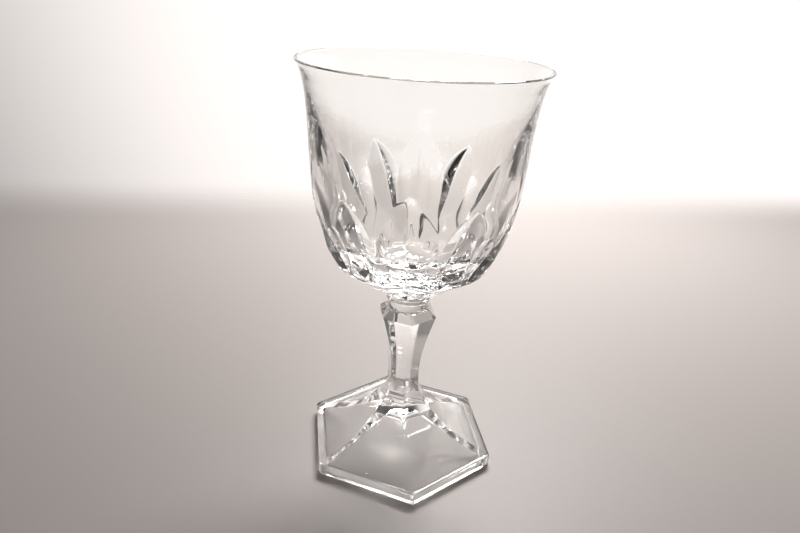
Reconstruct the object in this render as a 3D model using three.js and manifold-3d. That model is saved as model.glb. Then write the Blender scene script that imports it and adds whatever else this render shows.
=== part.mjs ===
// A stemmed glass: a flared bowl with a pressed leaf pattern, a round collar, a hexagonal stem
// with a bevelled knop, and a hexagonal foot. Millimetres, +Z up, origin under the foot's middle,
// and one corner of every hexagon points along -Y.
import * as THREE from 'three';
import { mergeVertices } from 'three/addons/utils/BufferGeometryUtils.js';
import Module from 'manifold-3d';

const wasm = await Module();
wasm.setup();

// Foot: corner radius, upright edge, bevels of that edge, and the height of the seat under the stem.
// Underneath, inside a flat band, a hexagonal hollow follows the sweep of the top: the wall over it is
// FOOT_WALL near the edge and FOOT_CORE near the stem.
const FOOT_RADIUS = 39.1;
const FOOT_EDGE = 4.9;
const FOOT_BEVEL = 0.7;
const FOOT_HEIGHT = 27;
const FOOT_CORNER = 1.6;
const FOOT_SAG = 6;
const FOOT_BAND = 3.8;
const HOLLOW_DROP = 1.4;
const FOOT_WALL = 4.6;
const FOOT_CORE = 6.9;
const HOLLOW_HEIGHT = 14.8;

// Stem: corner radii at the seat, the waist and the knop, the round neck, and heights above the seat.
const STEM_HEIGHT = 39.4;
const SEAT_RADIUS = 6.9;
const WAIST_RADIUS = 6.5;
const WAIST_HEIGHT = 9;
const KNOP_RADIUS = 11.7;
const KNOP_HEIGHT = 33.4;
const KNOP_BEVEL = 2.6;
const STEM_CORNER = 0.5;
const NECK_RADIUS = 6;

// Collar: a round disc between the neck and the bowl.
const COLLAR_RADIUS = 8.6;
const COLLAR_HEIGHT = 2.9;
const COLLAR_ROUND = 0.9;

// Bowl: outer radii at the underside, shoulder, hip, belly, upper part and rim, with their heights
// above the collar, and the wall at the rim, the upper part, the leaves, the belly and the floor.
const BOWL_HEIGHT = 84.2;
const BOWL_LIP = 0.6;
const SHOULDER_RADIUS = 28.6;
const SHOULDER_HEIGHT = 13.8;
const HIP_RADIUS = 33.3;
const HIP_HEIGHT = 23.7;
const BELLY_RADIUS = 37;
const BELLY_HEIGHT = 41;
const LEAF_RADIUS = 38.1;
const LEAF_HEIGHT = 54;
const UPPER_RADIUS = 38.9;
const UPPER_HEIGHT = 67;
const RIM_RADIUS = 42.9;
const RIM_WALL = 0.95;
const UPPER_WALL = 1.8;
const LEAF_WALL = 3.9;
const CUT_WALL = 5.4;
const FLOOR = 8.5;

// Pattern: a fan of leaves and flutes and its mirror image, repeated round the bowl. Each cut runs from
// one [angle, height above the collar] to another; depth is its deepest, left and right its widths
// there. A centred cut is its own mirror image.
const FANS = 2;
const FAN_TURN = -102.75;
const LIFT = 2;
const CUTS = [
  { name: 'middle leaf', from: [0, 3], to: [0, 49.5], depth: 2.2, left: 11, right: 11, centred: true },
  { name: 'middle flute', from: [0, 15], to: [0, 46], depth: 2.4, left: 2.6, right: 2.6,
    hollow: true, centred: true },
  { name: 'leaning leaf', from: [21.5, 14.5], to: [35, 43.8], depth: 3.8, left: 6.6, right: 8.5 },
  { name: 'outer leaf', from: [45, 13], to: [77, 43.5], depth: 3.3, left: 4.4, right: 6.5 },
  { name: 'joining leaf', from: [90, 14], to: [90, 38], depth: 1.8, left: 4.5, right: 4.5, centred: true },
  { name: 'side flute', from: [12, 13.5], to: [9.8, 36], depth: 1.9, left: 4.6, right: 4.6, hollow: true },
  { name: 'arch flute', from: [46, 13.5], to: [45, 33], depth: 1.7, left: 5.6, right: 5.6, hollow: true },
  { name: 'outer flute', from: [74, 13.5], to: [76, 31], depth: 1.6, left: 5, right: 5, hollow: true },
];

// Smoothness: steps round the bowl, along its outline, and along and across each cut.
const BOWL_STEPS = 72;
const OUTLINE_STEPS = 12;
const CUT_STEPS = 12;
const HOLLOW_STEPS = 6;

const SIDES = 6;
const radians = THREE.MathUtils.degToRad;

function solid(geometry) {
  geometry.deleteAttribute('normal');
  geometry.deleteAttribute('uv');
  const joined = mergeVertices(geometry, 1e-4);
  return new wasm.Manifold(new wasm.Mesh({
    numProp: 3,
    vertProperties: new Float32Array(joined.attributes.position.array),
    triVerts: new Uint32Array(joined.index.array),
  }));
}

function shell(body) {
  const mesh = body.getMesh();
  const geometry = new THREE.BufferGeometry();
  geometry.setAttribute('position', new THREE.BufferAttribute(mesh.vertProperties, 3));
  geometry.setIndex(new THREE.BufferAttribute(mesh.triVerts, 1));
  geometry.computeVertexNormals();
  return geometry;
}

function turned(points, steps) {
  const geometry = new THREE.LatheGeometry(points, steps);
  return geometry.rotateX(Math.PI / 2);
}

// A closed solid from stacked rings of equally many points, each ring a list of [x, y, z].
function loft(rings) {
  const count = rings[0].length;
  const corners = rings.flat(2);
  const faces = [];
  for (let level = 0; level + 1 < rings.length; level++) {
    for (let k = 0; k < count; k++) {
      const a = level * count + k;
      const b = level * count + (k + 1) % count;
      faces.push(a, b, b + count, a, b + count, a + count);
    }
  }
  const last = (rings.length - 1) * count;
  for (let k = 1; k + 1 < count; k++) {
    faces.push(0, k + 1, k);
    faces.push(last, last + k, last + k + 1);
  }
  const geometry = new THREE.BufferGeometry();
  geometry.setAttribute('position', new THREE.Float32BufferAttribute(corners, 3));
  geometry.setIndex(faces);
  geometry.computeVertexNormals();
  return geometry;
}

// A ring at height z, from a hexagon with cut corners (round = 0) to a circle (round = 1).
function hexRing(radius, z, corner, round = 0) {
  const perSide = 6;
  const cut = Math.asin(Math.min(0.4, corner / 2 / radius));
  const ring = [];
  for (let side = 0; side < SIDES; side++) {
    for (let k = 0; k < perSide; k++) {
      const span = Math.PI / SIDES - cut;
      const fromMiddle = -span + 2 * span * k / (perSide - 1);
      const flat = radius * Math.cos(Math.PI / SIDES) / Math.cos(fromMiddle);
      const reach = THREE.MathUtils.lerp(flat, radius, round);
      const angle = -Math.PI / 2 + (side + 0.5) * Math.PI / 3 + fromMiddle;
      ring.push([reach * Math.cos(angle), reach * Math.sin(angle), z]);
    }
  }
  return ring;
}

function foot() {
  const edge = new THREE.Vector2(FOOT_RADIUS - FOOT_BEVEL, FOOT_EDGE);
  const seat = new THREE.Vector2(SEAT_RADIUS, FOOT_HEIGHT);
  const bend = edge.clone().lerp(seat, 0.5).sub(new THREE.Vector2(FOOT_SAG, FOOT_SAG));
  const slope = new THREE.QuadraticBezierCurve(edge, bend, seat);
  const band = FOOT_RADIUS - FOOT_BAND;
  const hollow = new THREE.SplineCurve([
    new THREE.Vector2(SEAT_RADIUS * 0.2, HOLLOW_HEIGHT),
    new THREE.Vector2(SEAT_RADIUS * 0.8, HOLLOW_HEIGHT - 0.6),
    slope.getPoint(0.7).sub(new THREE.Vector2(0, FOOT_CORE)),
    slope.getPoint(0.4).sub(new THREE.Vector2(0, FOOT_WALL)),
    new THREE.Vector2(band - HOLLOW_DROP, HOLLOW_DROP),
  ]);
  const rings = hollow.getPoints(10).map((p) => hexRing(p.x, p.y, STEM_CORNER));
  rings.push(hexRing(band, 0, FOOT_CORNER));
  rings.push(hexRing(FOOT_RADIUS - FOOT_BEVEL, 0, FOOT_CORNER));
  rings.push(hexRing(FOOT_RADIUS, FOOT_BEVEL, FOOT_CORNER));
  rings.push(hexRing(FOOT_RADIUS, FOOT_EDGE - FOOT_BEVEL, FOOT_CORNER));
  rings.push(hexRing(edge.x, FOOT_EDGE, FOOT_CORNER));
  for (const point of slope.getPoints(8).slice(1)) {
    const share = (point.x - SEAT_RADIUS) / (edge.x - SEAT_RADIUS);
    const corner = THREE.MathUtils.lerp(STEM_CORNER, FOOT_CORNER, share);
    rings.push(hexRing(point.x, point.y, corner));
  }
  return loft(rings);
}

function stem() {
  const side = new THREE.SplineCurve([
    new THREE.Vector2(SEAT_RADIUS, 0),
    new THREE.Vector2(WAIST_RADIUS, WAIST_HEIGHT),
    new THREE.Vector2((WAIST_RADIUS + KNOP_RADIUS) / 2 - 0.6, (WAIST_HEIGHT + KNOP_HEIGHT) / 2 + 2),
    new THREE.Vector2(KNOP_RADIUS, KNOP_HEIGHT),
  ]);
  const rings = side.getPoints(9).map((p) => hexRing(p.x, p.y, STEM_CORNER));
  const top = KNOP_HEIGHT + KNOP_BEVEL;
  const shoulder = (KNOP_RADIUS + NECK_RADIUS) / 2;
  rings.push(hexRing(shoulder, top, STEM_CORNER));
  rings.push(hexRing(NECK_RADIUS + 0.8, top + 0.4, STEM_CORNER, 1));
  rings.push(hexRing(NECK_RADIUS, top + 1.2, STEM_CORNER, 1));
  rings.push(hexRing(NECK_RADIUS, STEM_HEIGHT, STEM_CORNER, 1));
  return loft(rings);
}

function collar() {
  const profile = new THREE.Path();
  profile.moveTo(0, 0);
  profile.lineTo(COLLAR_RADIUS - COLLAR_ROUND, 0);
  profile.absarc(COLLAR_RADIUS - COLLAR_ROUND, COLLAR_ROUND, COLLAR_ROUND, -Math.PI / 2, 0);
  profile.absarc(COLLAR_RADIUS - COLLAR_ROUND, COLLAR_HEIGHT - COLLAR_ROUND, COLLAR_ROUND, 0, Math.PI / 2);
  profile.lineTo(0, COLLAR_HEIGHT);
  return turned(profile.getPoints(3), 32);
}

// The bowl's underside stands a little proud of the collar; above its cone comes the outer line.
const bowlBase = COLLAR_RADIUS + BOWL_LIP;
const outerLine = new THREE.SplineCurve([
  new THREE.Vector2(SHOULDER_RADIUS, SHOULDER_HEIGHT),
  new THREE.Vector2(HIP_RADIUS, HIP_HEIGHT),
  new THREE.Vector2(BELLY_RADIUS, BELLY_HEIGHT),
  new THREE.Vector2(UPPER_RADIUS, UPPER_HEIGHT),
  new THREE.Vector2(RIM_RADIUS, BOWL_HEIGHT - RIM_WALL / 2),
]);

const innerLine = new THREE.SplineCurve([
  new THREE.Vector2(RIM_RADIUS - RIM_WALL, BOWL_HEIGHT - RIM_WALL / 2),
  new THREE.Vector2(UPPER_RADIUS - UPPER_WALL, UPPER_HEIGHT),
  new THREE.Vector2(LEAF_RADIUS - LEAF_WALL, LEAF_HEIGHT),
  new THREE.Vector2(BELLY_RADIUS - CUT_WALL, BELLY_HEIGHT),
  new THREE.Vector2(HIP_RADIUS - CUT_WALL, HIP_HEIGHT + 1),
  new THREE.Vector2(SHOULDER_RADIUS / 2, FLOOR + 3.2),
  new THREE.Vector2(0, FLOOR),
]);

function blank() {
  const profile = [new THREE.Vector2(0, 0), new THREE.Vector2(bowlBase, 0)];
  profile.push(...outerLine.getSpacedPoints(OUTLINE_STEPS));
  profile.push(new THREE.Vector2(RIM_RADIUS - RIM_WALL / 2, BOWL_HEIGHT));
  profile.push(...innerLine.getSpacedPoints(OUTLINE_STEPS));
  profile[profile.length - 1].x = 0;
  return turned(profile, BOWL_STEPS);
}

// Outer radius and outward slope at a height, from the underside's cone or the outer line.
function outline(height) {
  if (height <= SHOULDER_HEIGHT) {
    const slope = (SHOULDER_RADIUS - bowlBase) / SHOULDER_HEIGHT;
    return { radius: bowlBase + slope * height, slope };
  }
  let low = 0;
  let high = 1;
  for (let k = 0; k < 30; k++) {
    const middle = (low + high) / 2;
    if (outerLine.getPoint(middle).y < height) low = middle;
    else high = middle;
  }
  const tangent = outerLine.getTangent(low);
  return { radius: outerLine.getPoint(low).x, slope: tangent.x / tangent.y };
}

function onBowl(degrees, height) {
  const { radius, slope } = outline(height);
  const angle = radians(degrees);
  return {
    point: new THREE.Vector3(radius * Math.cos(angle), radius * Math.sin(angle), height),
    normal: new THREE.Vector3(Math.cos(angle), Math.sin(angle), -slope).normalize(),
  };
}

// Section of a cut as [across, outward] points: a V, or a round hollow.
function section(cut, depth) {
  if (!cut.hollow) {
    const reach = (depth + LIFT) / cut.depth;
    return [[-cut.left * reach, LIFT], [cut.right * reach, LIFT], [0, -depth]];
  }
  const radius = (cut.left ** 2 + cut.depth ** 2) / (2 * cut.depth);
  const points = [];
  for (let k = 0; k <= HOLLOW_STEPS; k++) {
    const angle = Math.PI * (k / HOLLOW_STEPS - 0.5) * 0.9;
    points.push([radius * Math.sin(angle), radius - depth - radius * Math.cos(angle)]);
  }
  return points.reverse();
}

// The tool that takes one cut out of the bowl, or its mirror image when side is -1.
function cutter(cut, fan, side) {
  const rings = [];
  for (let k = 0; k <= CUT_STEPS; k++) {
    const share = k / CUT_STEPS;
    const degrees = THREE.MathUtils.lerp(cut.from[0], cut.to[0], share);
    const height = THREE.MathUtils.lerp(cut.from[1], cut.to[1], share);
    const depth = cut.depth * Math.sin(Math.PI * share) ** 0.7 - 0.05;
    const turn = FAN_TURN + fan * 360 / FANS;
    const here = onBowl(turn + side * degrees, height);
    const step = 0.01;
    const next = onBowl(turn + side * (degrees + step * (cut.to[0] - cut.from[0])),
      height + step * (cut.to[1] - cut.from[1]));
    const along = next.point.clone().sub(here.point).normalize();
    const across = along.clone().cross(here.normal).normalize().multiplyScalar(side);
    const ring = section(cut, depth).map(([x, y]) => here.point.clone()
      .addScaledVector(across, x).addScaledVector(here.normal, y).toArray());
    rings.push(side > 0 ? ring : ring.reverse());
  }
  return solid(loft(rings));
}

function bowl() {
  let body = solid(blank());
  for (let fan = 0; fan < FANS; fan++) {
    for (const cut of CUTS) {
      body = body.subtract(cutter(cut, fan, 1));
      if (!cut.centred) body = body.subtract(cutter(cut, fan, -1));
    }
  }
  return shell(body);
}

function piece(name, geometry, height) {
  const clear = new THREE.MeshStandardMaterial({ color: '#e9ecea', roughness: 0.05, metalness: 0 });
  clear.transparent = true;
  clear.opacity = 0.35;
  const mesh = new THREE.Mesh(geometry, clear);
  mesh.name = name;
  mesh.position.z = height;
  return mesh;
}

const glass = new THREE.Group();
glass.add(piece('foot', foot(), 0));
glass.add(piece('stem', stem(), FOOT_HEIGHT));
glass.add(piece('collar', collar(), FOOT_HEIGHT + STEM_HEIGHT));
glass.add(piece('bowl', bowl(), FOOT_HEIGHT + STEM_HEIGHT + COLLAR_HEIGHT));

export default glass;
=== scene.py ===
import math

import bpy
from mathutils import Euler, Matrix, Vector
from mathutils.geometry import interpolate_bezier


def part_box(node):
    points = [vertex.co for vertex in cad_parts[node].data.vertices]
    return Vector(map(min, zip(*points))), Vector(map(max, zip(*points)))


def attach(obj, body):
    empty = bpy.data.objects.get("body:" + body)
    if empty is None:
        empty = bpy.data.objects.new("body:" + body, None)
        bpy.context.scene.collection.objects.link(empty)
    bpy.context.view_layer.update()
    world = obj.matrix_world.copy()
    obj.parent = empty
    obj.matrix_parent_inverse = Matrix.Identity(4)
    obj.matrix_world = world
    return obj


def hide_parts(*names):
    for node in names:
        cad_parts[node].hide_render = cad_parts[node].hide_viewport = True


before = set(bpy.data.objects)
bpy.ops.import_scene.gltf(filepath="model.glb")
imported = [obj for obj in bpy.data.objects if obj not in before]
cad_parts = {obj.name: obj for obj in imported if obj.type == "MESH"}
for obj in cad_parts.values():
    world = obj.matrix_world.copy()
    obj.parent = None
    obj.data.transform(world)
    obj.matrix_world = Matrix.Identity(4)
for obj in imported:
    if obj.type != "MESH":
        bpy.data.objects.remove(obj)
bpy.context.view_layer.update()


# Foot. A hexagon of clear glass, pressed in a mould: an upright edge all round, and six hollow faces
# that sweep up to the stem with a rounded ridge between them. Underneath it is hollowed out to an even
# wall, so it stands on a flat band along its edge.
MM = 0.001
foot_low, foot_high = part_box("foot")
FOOT_RADIUS = 39.1
FOOT_EDGE = 4.9
FOOT_EDGE_ROUND = 0.6
FOOT_CORNER_ROUND = 2.2
FOOT_SAG = 6.0
SEAT_RADIUS = 6.9
RIDGE_ROUND = 0.8
SLOPE_INSET = 0.3
SLOPE_STEPS = 96
FOOT_HOLLOW = [(35.3, 0), (33.9, 1.4), (22.9, 6.3), (13.8, 10.9), (5.5, 14.2), (1.4, 14.8)]
HOLLOW_STEPS = [6, 30, 20, 14, 5]
GLASS_COLOUR = (0.985, 0.99, 0.985, 1)
GLASS_IOR = 1.53
WAVINESS = 0.04
WAVE_SCALE = 90.0
WAVE_HEIGHT = 0.2
CREASE_ANGLE = 35


def clear_glass():
    """Fire-polished glass: smooth and clear, with the slight waves that a mould leaves."""
    material = bpy.data.materials.new("pressed_glass")
    material.use_nodes = True
    nodes, links = material.node_tree.nodes, material.node_tree.links
    shader = nodes["Principled BSDF"]
    shader.inputs["Base Color"].default_value = GLASS_COLOUR
    shader.inputs["Transmission Weight"].default_value = 1.0
    shader.inputs["IOR"].default_value = GLASS_IOR
    shader.inputs["Roughness"].default_value = 0.0
    place = nodes.new("ShaderNodeTexCoord")
    wave = nodes.new("ShaderNodeTexNoise")
    wave.inputs["Scale"].default_value = WAVE_SCALE
    wave.inputs["Detail"].default_value = 1.0
    bump = nodes.new("ShaderNodeBump")
    bump.inputs["Strength"].default_value = WAVINESS
    bump.inputs["Distance"].default_value = WAVE_HEIGHT * MM
    links.new(place.outputs["Object"], wave.inputs["Vector"])
    links.new(wave.outputs["Fac"], bump.inputs["Height"])
    links.new(bump.outputs["Normal"], shader.inputs["Normal"])
    return material


def fused_face():
    """Where two pieces were melted together no surface is left, so these faces can't be seen."""
    material = bpy.data.materials.new("fused_joint")
    material.use_nodes = True
    shader = material.node_tree.nodes["Principled BSDF"]
    shader.inputs["Alpha"].default_value = 0.0
    return material


pressed_glass = clear_glass()
fused_joint = fused_face()


def hexagon(radius, rounding):
    """One turn round a hexagon with rounded corners, one of them at -Y, in millimetres."""
    corner = radius + rounding * (1 / math.cos(math.pi / 6) - 1)
    centre = corner - rounding / math.cos(math.pi / 6)
    arc_steps, side_steps = 12, 10
    ring = []
    for side in range(6):
        middle = -math.pi / 2 + side * math.pi / 3
        hub = Vector((math.cos(middle), math.sin(middle))) * centre
        for step in range(arc_steps + 1):
            angle = middle + math.pi / 3 * (step / arc_steps - 0.5)
            ring.append(hub + Vector((math.cos(angle), math.sin(angle))) * rounding)
        start = ring[-1]
        after = middle + math.pi / 3
        hub = Vector((math.cos(after), math.sin(after))) * centre
        end = hub + Vector((math.cos(after - math.pi / 6), math.sin(after - math.pi / 6))) * rounding
        ring.extend(start.lerp(end, step / side_steps) for step in range(1, side_steps))
    return ring


def stack(name, rings, fused_bottom=False, fused_top=False):
    """A closed piece from rings of (points, height), capped flat at both ends."""
    count = len(rings[0][0])
    verts = [(p.x * MM, p.y * MM, z) for points, z in rings for p in points]
    faces = [tuple(reversed(range(count)))]
    for level in range(len(rings) - 1):
        base = level * count
        for k in range(count):
            after = (k + 1) % count
            faces.append((base + k, base + after, base + count + after, base + count + k))
    faces.append(tuple(range(len(verts) - count, len(verts))))
    mesh = bpy.data.meshes.new(name)
    mesh.from_pydata(verts, [], faces)
    mesh.materials.append(pressed_glass)
    mesh.materials.append(fused_joint)
    mesh.shade_smooth()
    mesh.polygons[0].use_smooth = mesh.polygons[-1].use_smooth = False
    mesh.polygons[0].material_index = int(fused_bottom)
    mesh.polygons[len(faces) - 1].material_index = int(fused_top)
    mesh.set_sharp_from_angle(angle=math.radians(CREASE_ANGLE))
    piece = bpy.data.objects.new(name, mesh)
    bpy.context.scene.collection.objects.link(piece)
    return piece


def quarter_round(radius, height, size, start, steps=5):
    """Radii and heights of a rounded edge whose centre is at (radius, height)."""
    angles = [math.radians(start + 90 * k / steps) for k in range(steps + 1)]
    return [(radius + size * math.cos(a), height + size * math.sin(a)) for a in angles]


def smooth_line(points, steps):
    """A smooth line through points of (radius, height), with so many steps in each span."""
    points = [Vector((radius, height, 0)) for radius, height in points]
    line = []
    for k in range(len(points) - 1):
        before, start = points[max(k - 1, 0)], points[k]
        end, after = points[k + 1], points[min(k + 2, len(points) - 1)]
        handle_1 = start + (end - before) / 6
        handle_2 = end - (after - start) / 6
        line += interpolate_bezier(start, handle_1, handle_2, end, steps[k] + 1)[:-1]
    return line + [points[-1]]


inset = FOOT_RADIUS - FOOT_EDGE_ROUND
edge = quarter_round(inset, FOOT_EDGE_ROUND, FOOT_EDGE_ROUND, -90)
edge += quarter_round(inset, FOOT_EDGE - FOOT_EDGE_ROUND, FOOT_EDGE_ROUND, 0)
rise = Vector((inset - SLOPE_INSET, FOOT_EDGE, 0))
seat = Vector((SEAT_RADIUS, (foot_high.z - foot_low.z) / MM, 0))
bend = (rise + seat) / 2 - Vector((FOOT_SAG, FOOT_SAG, 0))
slope = interpolate_bezier(rise, rise.lerp(bend, 2 / 3), seat.lerp(bend, 2 / 3), seat, SLOPE_STEPS)
hollow = smooth_line(FOOT_HOLLOW, HOLLOW_STEPS)
foot_rings = [(hexagon(p.x, RIDGE_ROUND), foot_low.z + p.y * MM) for p in reversed(hollow)]
foot_rings += [(hexagon(r, FOOT_CORNER_ROUND), foot_low.z + z * MM) for r, z in edge]
for point in slope:
    share = (point.x - SEAT_RADIUS) / (inset - SEAT_RADIUS)
    rounding = RIDGE_ROUND + (FOOT_CORNER_ROUND - RIDGE_ROUND) * max(0.0, share) ** 0.5
    foot_rings.append((hexagon(point.x, rounding), foot_low.z + point.y * MM))
foot = stack("glass_foot", foot_rings, fused_top=True)
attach(foot, "root")
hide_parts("foot")


# Stem. One pressed piece of clear glass: a hexagonal shaft that narrows to a waist and widens to a
# bevelled knop, then a short round neck. It was joined hot to the foot below and the collar above.
stem_low, stem_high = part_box("stem")
WAIST_RADIUS = 6.45
WAIST_HEIGHT = 8.0
KNOP_RADIUS = 11.7
KNOP_HEIGHT = 33.4
KNOP_TOP_RADIUS = 8.7
KNOP_TOP_HEIGHT = 36.0
NECK_RADIUS = 6.0
STEM_ROUND = 0.8
BELOW_WAIST_STEPS = 8
ABOVE_WAIST_STEPS = 28


def blend_round(radius, rounding, share):
    """A ring between a hexagon (share 0) and a circle (share 1)."""
    return [p.lerp(p.normalized() * radius, share) for p in hexagon(radius, rounding)]


# The shaft is two curves, below and above its waist. Each ring is its radius, height and how round it is.
waist = Vector((WAIST_RADIUS, WAIST_HEIGHT, 0))
knop = Vector((KNOP_RADIUS - 0.25, KNOP_HEIGHT - 0.6, 0))
lower = interpolate_bezier(Vector((SEAT_RADIUS, 0, 0)), Vector((SEAT_RADIUS - 0.2, 2.5, 0)),
                           Vector((WAIST_RADIUS, WAIST_HEIGHT - 3, 0)), waist, BELOW_WAIST_STEPS)
upper = interpolate_bezier(waist, waist + Vector((0, 9, 0)), knop - Vector((2.3, 8, 0)), knop,
                           ABOVE_WAIST_STEPS)
outline = [(p.x, p.y, 0.0) for p in [*lower[:-1], *upper]]
outline += [
    (KNOP_RADIUS, KNOP_HEIGHT, 0),
    (KNOP_RADIUS - 0.3, KNOP_HEIGHT + 0.5, 0),
    (KNOP_TOP_RADIUS + 0.3, KNOP_TOP_HEIGHT - 0.3, 0),
    (KNOP_TOP_RADIUS, KNOP_TOP_HEIGHT, 0.05),
    (NECK_RADIUS + 0.9, KNOP_TOP_HEIGHT + 0.35, 0.8),
    (NECK_RADIUS + 0.3, KNOP_TOP_HEIGHT + 0.8, 1),
    (NECK_RADIUS, KNOP_TOP_HEIGHT + 1.4, 1),
    (NECK_RADIUS, (stem_high.z - stem_low.z) / MM, 1),
]
stem_rings = [(blend_round(r, STEM_ROUND, share), stem_low.z + z * MM) for r, z, share in outline]
stem = stack("glass_stem", stem_rings, fused_bottom=True, fused_top=True)
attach(stem, "root")
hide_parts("stem")


# Collar. The small round disc of glass that the gatherer drops on the neck, and that the bowl is
# then stuck to while both are soft. Its edge is fully rounded.
collar_low, collar_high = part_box("collar")
COLLAR_EDGE_ROUND = 1.1


def circle(radius, count=96):
    return [Vector((math.cos(math.tau * k / count), math.sin(math.tau * k / count))) * radius
            for k in range(count)]


collar_radius = collar_high.x / MM
collar_height = (collar_high.z - collar_low.z) / MM
inner = collar_radius - COLLAR_EDGE_ROUND
bead = [(NECK_RADIUS, 0)]
bead += quarter_round(inner, COLLAR_EDGE_ROUND, COLLAR_EDGE_ROUND, -90)
bead += quarter_round(inner, collar_height - COLLAR_EDGE_ROUND, COLLAR_EDGE_ROUND, 0)
collar = stack("glass_collar", [(circle(r), collar_low.z + z * MM) for r, z in bead],
               fused_bottom=True, fused_top=True)
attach(collar, "root")
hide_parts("collar")


# Bowl. Blown into a patterned mould: a thin flared rim, a smooth upper part, and a thick lower part
# pressed with two fans of leaf-shaped cuts and hollow flutes, each fan mirrored about its middle.
bowl_low, bowl_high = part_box("bowl")
BOWL_LIP = 0.6
SHOULDER = (28.6, 13.8)
HIP = (33.3, 23.7)
BELLY = (37.0, 41.0)
UPPER = (38.9, 67.0)
RIM_WALL = 0.95
UPPER_WALL = 1.8
MIDDLE = (38.1, 54.0)
MIDDLE_WALL = 3.9
CUT_WALL = 5.4
FLOOR = 8.5
FLOOR_RISE = 3.2
POLE_RADIUS = 0.6
FLARE_WIDTH = 2.2
FLARE_HEIGHT = 5.0
OUTSIDE_STEPS = [24, 36, 40, 10, 6]
INSIDE_STEPS = [4, 10, 8, 8, 12, 16, 12]
UNDERSIDE_STEPS = 16
TURNS = 480
FAN_ANGLE = 180.0
FAN_TURN = -102.75
EDGE_SOFTNESS = 0.12
VALLEY_SOFTNESS = 0.25
END_TAPER = 0.7
CUT_LIFT = 0.05
# Each cut runs from start to end, as degrees from the middle of a fan and height. It is a V, with its
# own width to the left and to the right, or a round hollow.
CUTS = {
    "middle_leaf": dict(start=(0.0, 3.0), end=(0.0, 49.5), depth=2.2, left=11.0, right=11.0),
    "middle_flute": dict(start=(0.0, 15.0), end=(0.0, 46.0), depth=2.4, left=2.6, right=2.6, hollow=1),
    "leaning_leaf": dict(start=(21.5, 14.5), end=(35.0, 43.8), depth=3.8, left=6.6, right=8.5),
    "outer_leaf": dict(start=(45.0, 13.0), end=(77.0, 43.5), depth=3.3, left=4.4, right=6.5),
    "joining_leaf": dict(start=(90.0, 14.0), end=(90.0, 38.0), depth=1.8, left=4.5, right=4.5),
    "side_flute": dict(start=(12.0, 13.5), end=(9.8, 36.0), depth=1.9, left=4.6, right=4.6, hollow=1),
    "arch_flute": dict(start=(46.0, 13.5), end=(45.0, 33.0), depth=1.7, left=5.6, right=5.6, hollow=1),
    "outer_flute": dict(start=(74.0, 13.5), end=(76.0, 31.0), depth=1.6, left=5.0, right=5.0, hollow=1),
}


rim_radius = bowl_high.x / MM
bowl_height = (bowl_high.z - bowl_low.z) / MM
half_wall = RIM_WALL / 2
outside = smooth_line([
    SHOULDER,
    HIP,
    BELLY,
    UPPER,
    (rim_radius - FLARE_WIDTH, bowl_height - FLARE_HEIGHT),
    (rim_radius, bowl_height - half_wall),
], OUTSIDE_STEPS)
inside = smooth_line([
    (rim_radius - RIM_WALL, bowl_height - half_wall),
    (rim_radius - FLARE_WIDTH - RIM_WALL, bowl_height - FLARE_HEIGHT),
    (UPPER[0] - UPPER_WALL, UPPER[1]),
    (MIDDLE[0] - MIDDLE_WALL, MIDDLE[1]),
    (BELLY[0] - CUT_WALL, BELLY[1]),
    (HIP[0] - CUT_WALL, HIP[1] + 1),
    (SHOULDER[0] / 2, FLOOR + FLOOR_RISE),
    (POLE_RADIUS, FLOOR),
], INSIDE_STEPS)
base = Vector((collar_radius + BOWL_LIP, 0, 0))
shoulder = Vector((*SHOULDER, 0))
underside = [Vector((inner, 0, 0))]
underside += [base.lerp(shoulder, k / UNDERSIDE_STEPS) for k in range(UNDERSIDE_STEPS)]
lip = []
for turn in (45, 90, 135):
    cosine, sine = math.cos(math.radians(turn)), math.sin(math.radians(turn))
    lip.append(Vector((rim_radius - half_wall * (1 - cosine), bowl_height - half_wall * (1 - sine), 0)))
bowl_outline = [*underside, *outside, *lip, *inside]
bowl_rings = [(circle(p.x, TURNS), bowl_low.z + p.y * MM) for p in bowl_outline]
bowl = stack("glass_bowl", bowl_rings, fused_bottom=True)
mask = bowl.data.attributes.new("outer", "FLOAT", "POINT")
outer_start = 2 * TURNS
outer_end = (len(underside) + len(outside)) * TURNS
on_outer = [float(outer_start <= k < outer_end) for k in range(len(bowl.data.vertices))]
mask.data.foreach_set("value", on_outer)


def node_maths(tree):
    """A function that adds one maths node to the tree and gives back its result."""
    def maths(operation, *values):
        node = tree.nodes.new("ShaderNodeMath")
        node.operation = operation
        for socket, value in zip(node.inputs, values):
            if isinstance(value, bpy.types.NodeSocket):
                tree.links.new(value, socket)
            else:
                socket.default_value = value
        return node.outputs[0]
    return maths


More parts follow.
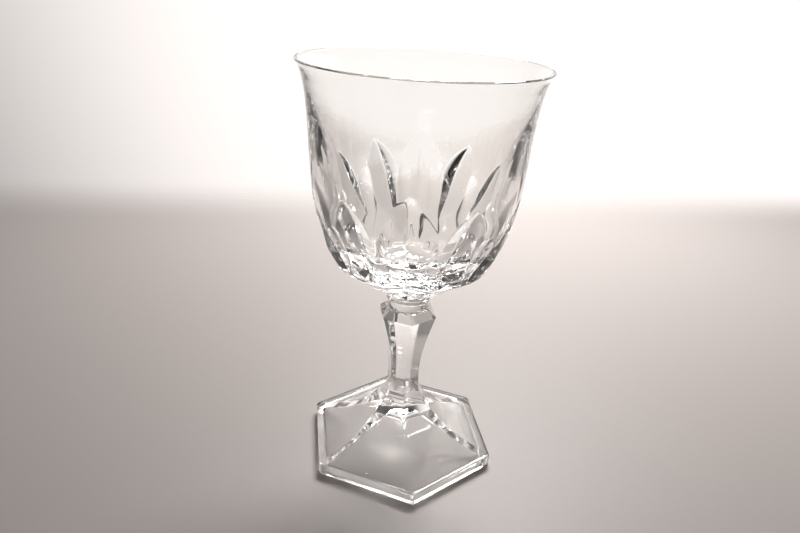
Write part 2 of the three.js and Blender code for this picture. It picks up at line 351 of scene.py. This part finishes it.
def pressed_cut_group():
    """How deep one cut is at a place on the bowl: a V or a round hollow that tapers at its ends."""
    group = bpy.data.node_groups.new("pressed_cut", "GeometryNodeTree")
    fields = ["Angle", "Height", "Radius", "Start Angle", "Start Height", "End Angle", "End Height",
              "Depth", "Left Width", "Right Width", "Hollow"]
    for field in fields:
        group.interface.new_socket(field, in_out="INPUT", socket_type="NodeSocketFloat")
    group.interface.new_socket("Cut Depth", in_out="OUTPUT", socket_type="NodeSocketFloat")
    given = group.nodes.new("NodeGroupInput").outputs
    maths = node_maths(group)

    # The bowl unrolled flat, in millimetres: the cut's own line, and this place measured from its start.
    per_degree = maths("MULTIPLY", given["Radius"], math.radians(1))
    run = maths("MULTIPLY", maths("SUBTRACT", given["End Angle"], given["Start Angle"]), per_degree)
    climb = maths("SUBTRACT", given["End Height"], given["Start Height"])
    aside = maths("MULTIPLY", maths("SUBTRACT", given["Angle"], given["Start Angle"]), per_degree)
    up = maths("SUBTRACT", given["Height"], given["Start Height"])
    length = maths("SQRT", maths("ADD", maths("MULTIPLY", run, run), maths("MULTIPLY", climb, climb)))
    along = maths("ADD", maths("MULTIPLY", aside, run), maths("MULTIPLY", up, climb))
    share = maths("DIVIDE", along, maths("MULTIPLY", length, length))
    share = maths("MINIMUM", maths("MAXIMUM", share, 0.0), 1.0)
    across = maths("SUBTRACT", maths("MULTIPLY", aside, climb), maths("MULTIPLY", up, run))
    across = maths("DIVIDE", across, length)

    taper = maths("POWER", maths("SINE", maths("MULTIPLY", share, math.pi)), END_TAPER)
    floor = maths("SUBTRACT", maths("MULTIPLY", taper, given["Depth"]), CUT_LIFT)
    left = maths("DIVIDE", given["Depth"], given["Left Width"])
    right = maths("DIVIDE", given["Depth"], given["Right Width"])
    falls = maths("MULTIPLY", maths("MULTIPLY", across, -1.0), left)
    climbs = maths("MULTIPLY", across, right)
    wall = maths("SMOOTH_MAX", falls, climbs, VALLEY_SOFTNESS)
    bowed = maths("DIVIDE", maths("MULTIPLY", across, across), given["Left Width"])
    bowed = maths("MULTIPLY", bowed, left)
    hollow = maths("ADD", maths("MULTIPLY", bowed, given["Hollow"]),
                   maths("MULTIPLY", wall, maths("SUBTRACT", 1.0, given["Hollow"])))
    result = group.nodes.new("NodeGroupOutput")
    group.links.new(maths("SUBTRACT", floor, hollow), result.inputs["Cut Depth"])
    return group


def bowl_pattern():
    """Presses every cut into the bowl's outer face, with its mirror image, once in each fan."""
    tree = bpy.data.node_groups.new("bowl_pattern", "GeometryNodeTree")
    tree.interface.new_socket("Geometry", in_out="INPUT", socket_type="NodeSocketGeometry")
    for field in ["Base Height", "Fan Turn", "Fan Angle", "Edge Softness"]:
        tree.interface.new_socket(field, in_out="INPUT", socket_type="NodeSocketFloat")
    tree.interface.new_socket("Geometry", in_out="OUTPUT", socket_type="NodeSocketGeometry")
    given = tree.nodes.new("NodeGroupInput").outputs
    maths = node_maths(tree)

    place = tree.nodes.new("ShaderNodeSeparateXYZ")
    tree.links.new(tree.nodes.new("GeometryNodeInputPosition").outputs[0], place.inputs[0])
    x, y, z = place.outputs
    angle = maths("DEGREES", maths("ARCTAN2", y, x))
    angle = maths("SUBTRACT", angle, given["Fan Turn"])
    angle = maths("PINGPONG", angle, maths("DIVIDE", given["Fan Angle"], 2.0))
    height = maths("DIVIDE", maths("SUBTRACT", z, given["Base Height"]), MM)
    radius = maths("SQRT", maths("ADD", maths("MULTIPLY", x, x), maths("MULTIPLY", y, y)))
    radius = maths("DIVIDE", radius, MM)

    pressed_cut = pressed_cut_group()
    depth = None
    for name, cut in CUTS.items():
        node = tree.nodes.new("GeometryNodeGroup")
        node.node_tree = pressed_cut
        node.label = name
        tree.links.new(angle, node.inputs["Angle"])
        tree.links.new(height, node.inputs["Height"])
        tree.links.new(radius, node.inputs["Radius"])
        sizes = [*cut["start"], *cut["end"], cut["depth"], cut["left"], cut["right"]]
        sizes.append(cut.get("hollow", 0))
        for socket, size in zip(list(node.inputs)[3:], sizes):
            socket.default_value = size
        this = node.outputs["Cut Depth"]
        depth = this if depth is None else maths("SMOOTH_MAX", depth, this, given["Edge Softness"])
    depth = maths("SMOOTH_MAX", depth, 0.0, given["Edge Softness"])
    outer = tree.nodes.new("GeometryNodeInputNamedAttribute")
    outer.inputs["Name"].default_value = "outer"
    depth = maths("MULTIPLY", maths("MULTIPLY", depth, outer.outputs["Attribute"]), -MM)
    push = tree.nodes.new("ShaderNodeVectorMath")
    push.operation = "SCALE"
    tree.links.new(tree.nodes.new("GeometryNodeInputNormal").outputs[0], push.inputs[0])
    tree.links.new(depth, push.inputs["Scale"])
    move = tree.nodes.new("GeometryNodeSetPosition")
    tree.links.new(given["Geometry"], move.inputs["Geometry"])
    tree.links.new(push.outputs[0], move.inputs["Offset"])
    whole = tree.nodes.new("GeometryNodeRealizeInstances")
    tree.links.new(move.outputs[0], whole.inputs[0])
    clear = tree.nodes.new("GeometryNodeSetMaterial")
    clear.inputs["Material"].default_value = pressed_glass
    tree.links.new(whole.outputs[0], clear.inputs["Geometry"])
    result = tree.nodes.new("NodeGroupOutput")
    tree.links.new(clear.outputs[0], result.inputs[0])
    return tree


pattern = bowl.modifiers.new("pattern", "NODES")
pattern.node_group = bowl_pattern()
sizes = {
    "Base Height": bowl_low.z,
    "Fan Turn": FAN_TURN,
    "Fan Angle": FAN_ANGLE,
    "Edge Softness": EDGE_SOFTNESS,
}
for item in pattern.node_group.interface.items_tree:
    if item.item_type == "SOCKET" and item.name in sizes:
        pattern[item.identifier] = sizes[item.name]
graph = bpy.context.evaluated_depsgraph_get()
bowl.data = bpy.data.meshes.new_from_object(bowl.evaluated_get(graph), depsgraph=graph)
bowl.modifiers.clear()
bowl.data.materials.append(fused_joint)
bowl.data.polygons[0].material_index = len(bowl.data.materials) - 1
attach(bowl, "root")
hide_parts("bowl")


# Table and light. A plain pale table whose far edge fades into a white room, which is bright behind
# the glass and to its right and dim in front and on the left. A softbox hangs over the far right side.
TABLE_TOP = -0.00003
TABLE_REACH = 2.0
TABLE_FADE = (0.26, 0.37)
# Each part of the room's light: its direction, where it starts and ends, and its level before and after.
ROOM_LIGHT = [((0.53, 0.85, 0.1), 0.28, 0.85, 0.2, 1.15), ((0, 0, 1), 0.2, 0.6, 1.0, 0.12)]
ROOM_COLOUR = (1.0, 0.94, 0.91, 1)
TABLE_COLOUR = (0.46, 0.42, 0.405, 1)
LAMP_PLACE = (0.14, 0.34, 0.43)
LAMP_SIZE = 0.25
LAMP_POWER = 4.3
LAMP_COLOUR = (1.0, 0.98, 0.96)
LIGHT_BOUNCES = 24

# The table top lies a hair below the foot, so that the two never share one plane.
table_mesh = bpy.data.meshes.new("table")
table_mesh.from_pydata([(x * TABLE_REACH, y * TABLE_REACH, TABLE_TOP) for x, y in
                        ((-1, -1), (1, -1), (1, 1), (-1, 1))], [], [(0, 1, 2, 3)])
table = bpy.data.objects.new("table", table_mesh)
bpy.context.scene.collection.objects.link(table)

satin = bpy.data.materials.new("table_satin")
satin.use_nodes = True
nodes, links = satin.node_tree.nodes, satin.node_tree.links
shader = nodes["Principled BSDF"]
shader.inputs["Base Color"].default_value = TABLE_COLOUR
shader.inputs["Roughness"].default_value = 0.5
axes = nodes.new("ShaderNodeSeparateXYZ")
links.new(nodes.new("ShaderNodeTexCoord").outputs["Object"], axes.inputs[0])
fade = nodes.new("ShaderNodeMapRange")
fade.interpolation_type = "SMOOTHSTEP"
fade.inputs["From Min"].default_value, fade.inputs["From Max"].default_value = TABLE_FADE
fade.inputs["To Min"].default_value, fade.inputs["To Max"].default_value = 1.0, 0.0
links.new(axes.outputs["Y"], fade.inputs["Value"])
links.new(fade.outputs["Result"], shader.inputs["Alpha"])
table_mesh.materials.append(satin)

world = bpy.data.worlds.new("room")
world.use_nodes = True
nodes, links = world.node_tree.nodes, world.node_tree.links
direction = nodes.new("ShaderNodeTexCoord").outputs["Generated"]
levels = []
for toward, start, end, low_level, high_level in ROOM_LIGHT:
    facing = nodes.new("ShaderNodeVectorMath")
    facing.operation = "DOT_PRODUCT"
    facing.inputs[1].default_value = Vector(toward).normalized()
    links.new(direction, facing.inputs[0])
    level = nodes.new("ShaderNodeMapRange")
    level.interpolation_type = "SMOOTHSTEP"
    level.inputs["From Min"].default_value, level.inputs["From Max"].default_value = start, end
    level.inputs["To Min"].default_value, level.inputs["To Max"].default_value = low_level, high_level
    links.new(facing.outputs["Value"], level.inputs["Value"])
    levels.append(level.outputs["Result"])
strength = nodes.new("ShaderNodeMath")
strength.operation = "MULTIPLY"
links.new(levels[0], strength.inputs[0])
links.new(levels[1], strength.inputs[1])
links.new(strength.outputs[0], nodes["Background"].inputs["Strength"])
nodes["Background"].inputs["Color"].default_value = ROOM_COLOUR
bpy.context.scene.world = world

softbox = bpy.data.lights.new("softbox", "AREA")
softbox.size = LAMP_SIZE
softbox.energy = LAMP_POWER
softbox.color = LAMP_COLOUR
lamp = bpy.data.objects.new("softbox", softbox)
lamp.location = LAMP_PLACE
bpy.context.scene.collection.objects.link(lamp)
bpy.context.scene.view_settings.view_transform = "Standard"
bpy.context.scene.cycles.max_bounces = LIGHT_BOUNCES
bpy.context.scene.cycles.transmission_bounces = LIGHT_BOUNCES
bpy.context.scene.cycles.glossy_bounces = LIGHT_BOUNCES
bpy.context.scene.cycles.blur_glossy = 0
bpy.context.scene.cycles.sample_clamp_indirect = 0

# Camera. Hand held close to the glass, a little above its rim and turned slightly about its own axis.
LENS = 29.42
CAMERA_PLACE = (-0.04034, -0.22083, 0.17918)
CAMERA_ANGLES = (65.933, -3.259, -7.882)
camera_data = bpy.data.cameras.new("camera")
camera_data.lens = LENS
camera = bpy.data.objects.new("camera", camera_data)
camera.location = CAMERA_PLACE
camera.rotation_euler = Euler([math.radians(angle) for angle in CAMERA_ANGLES])
bpy.context.scene.collection.objects.link(camera)
bpy.context.scene.camera = camera
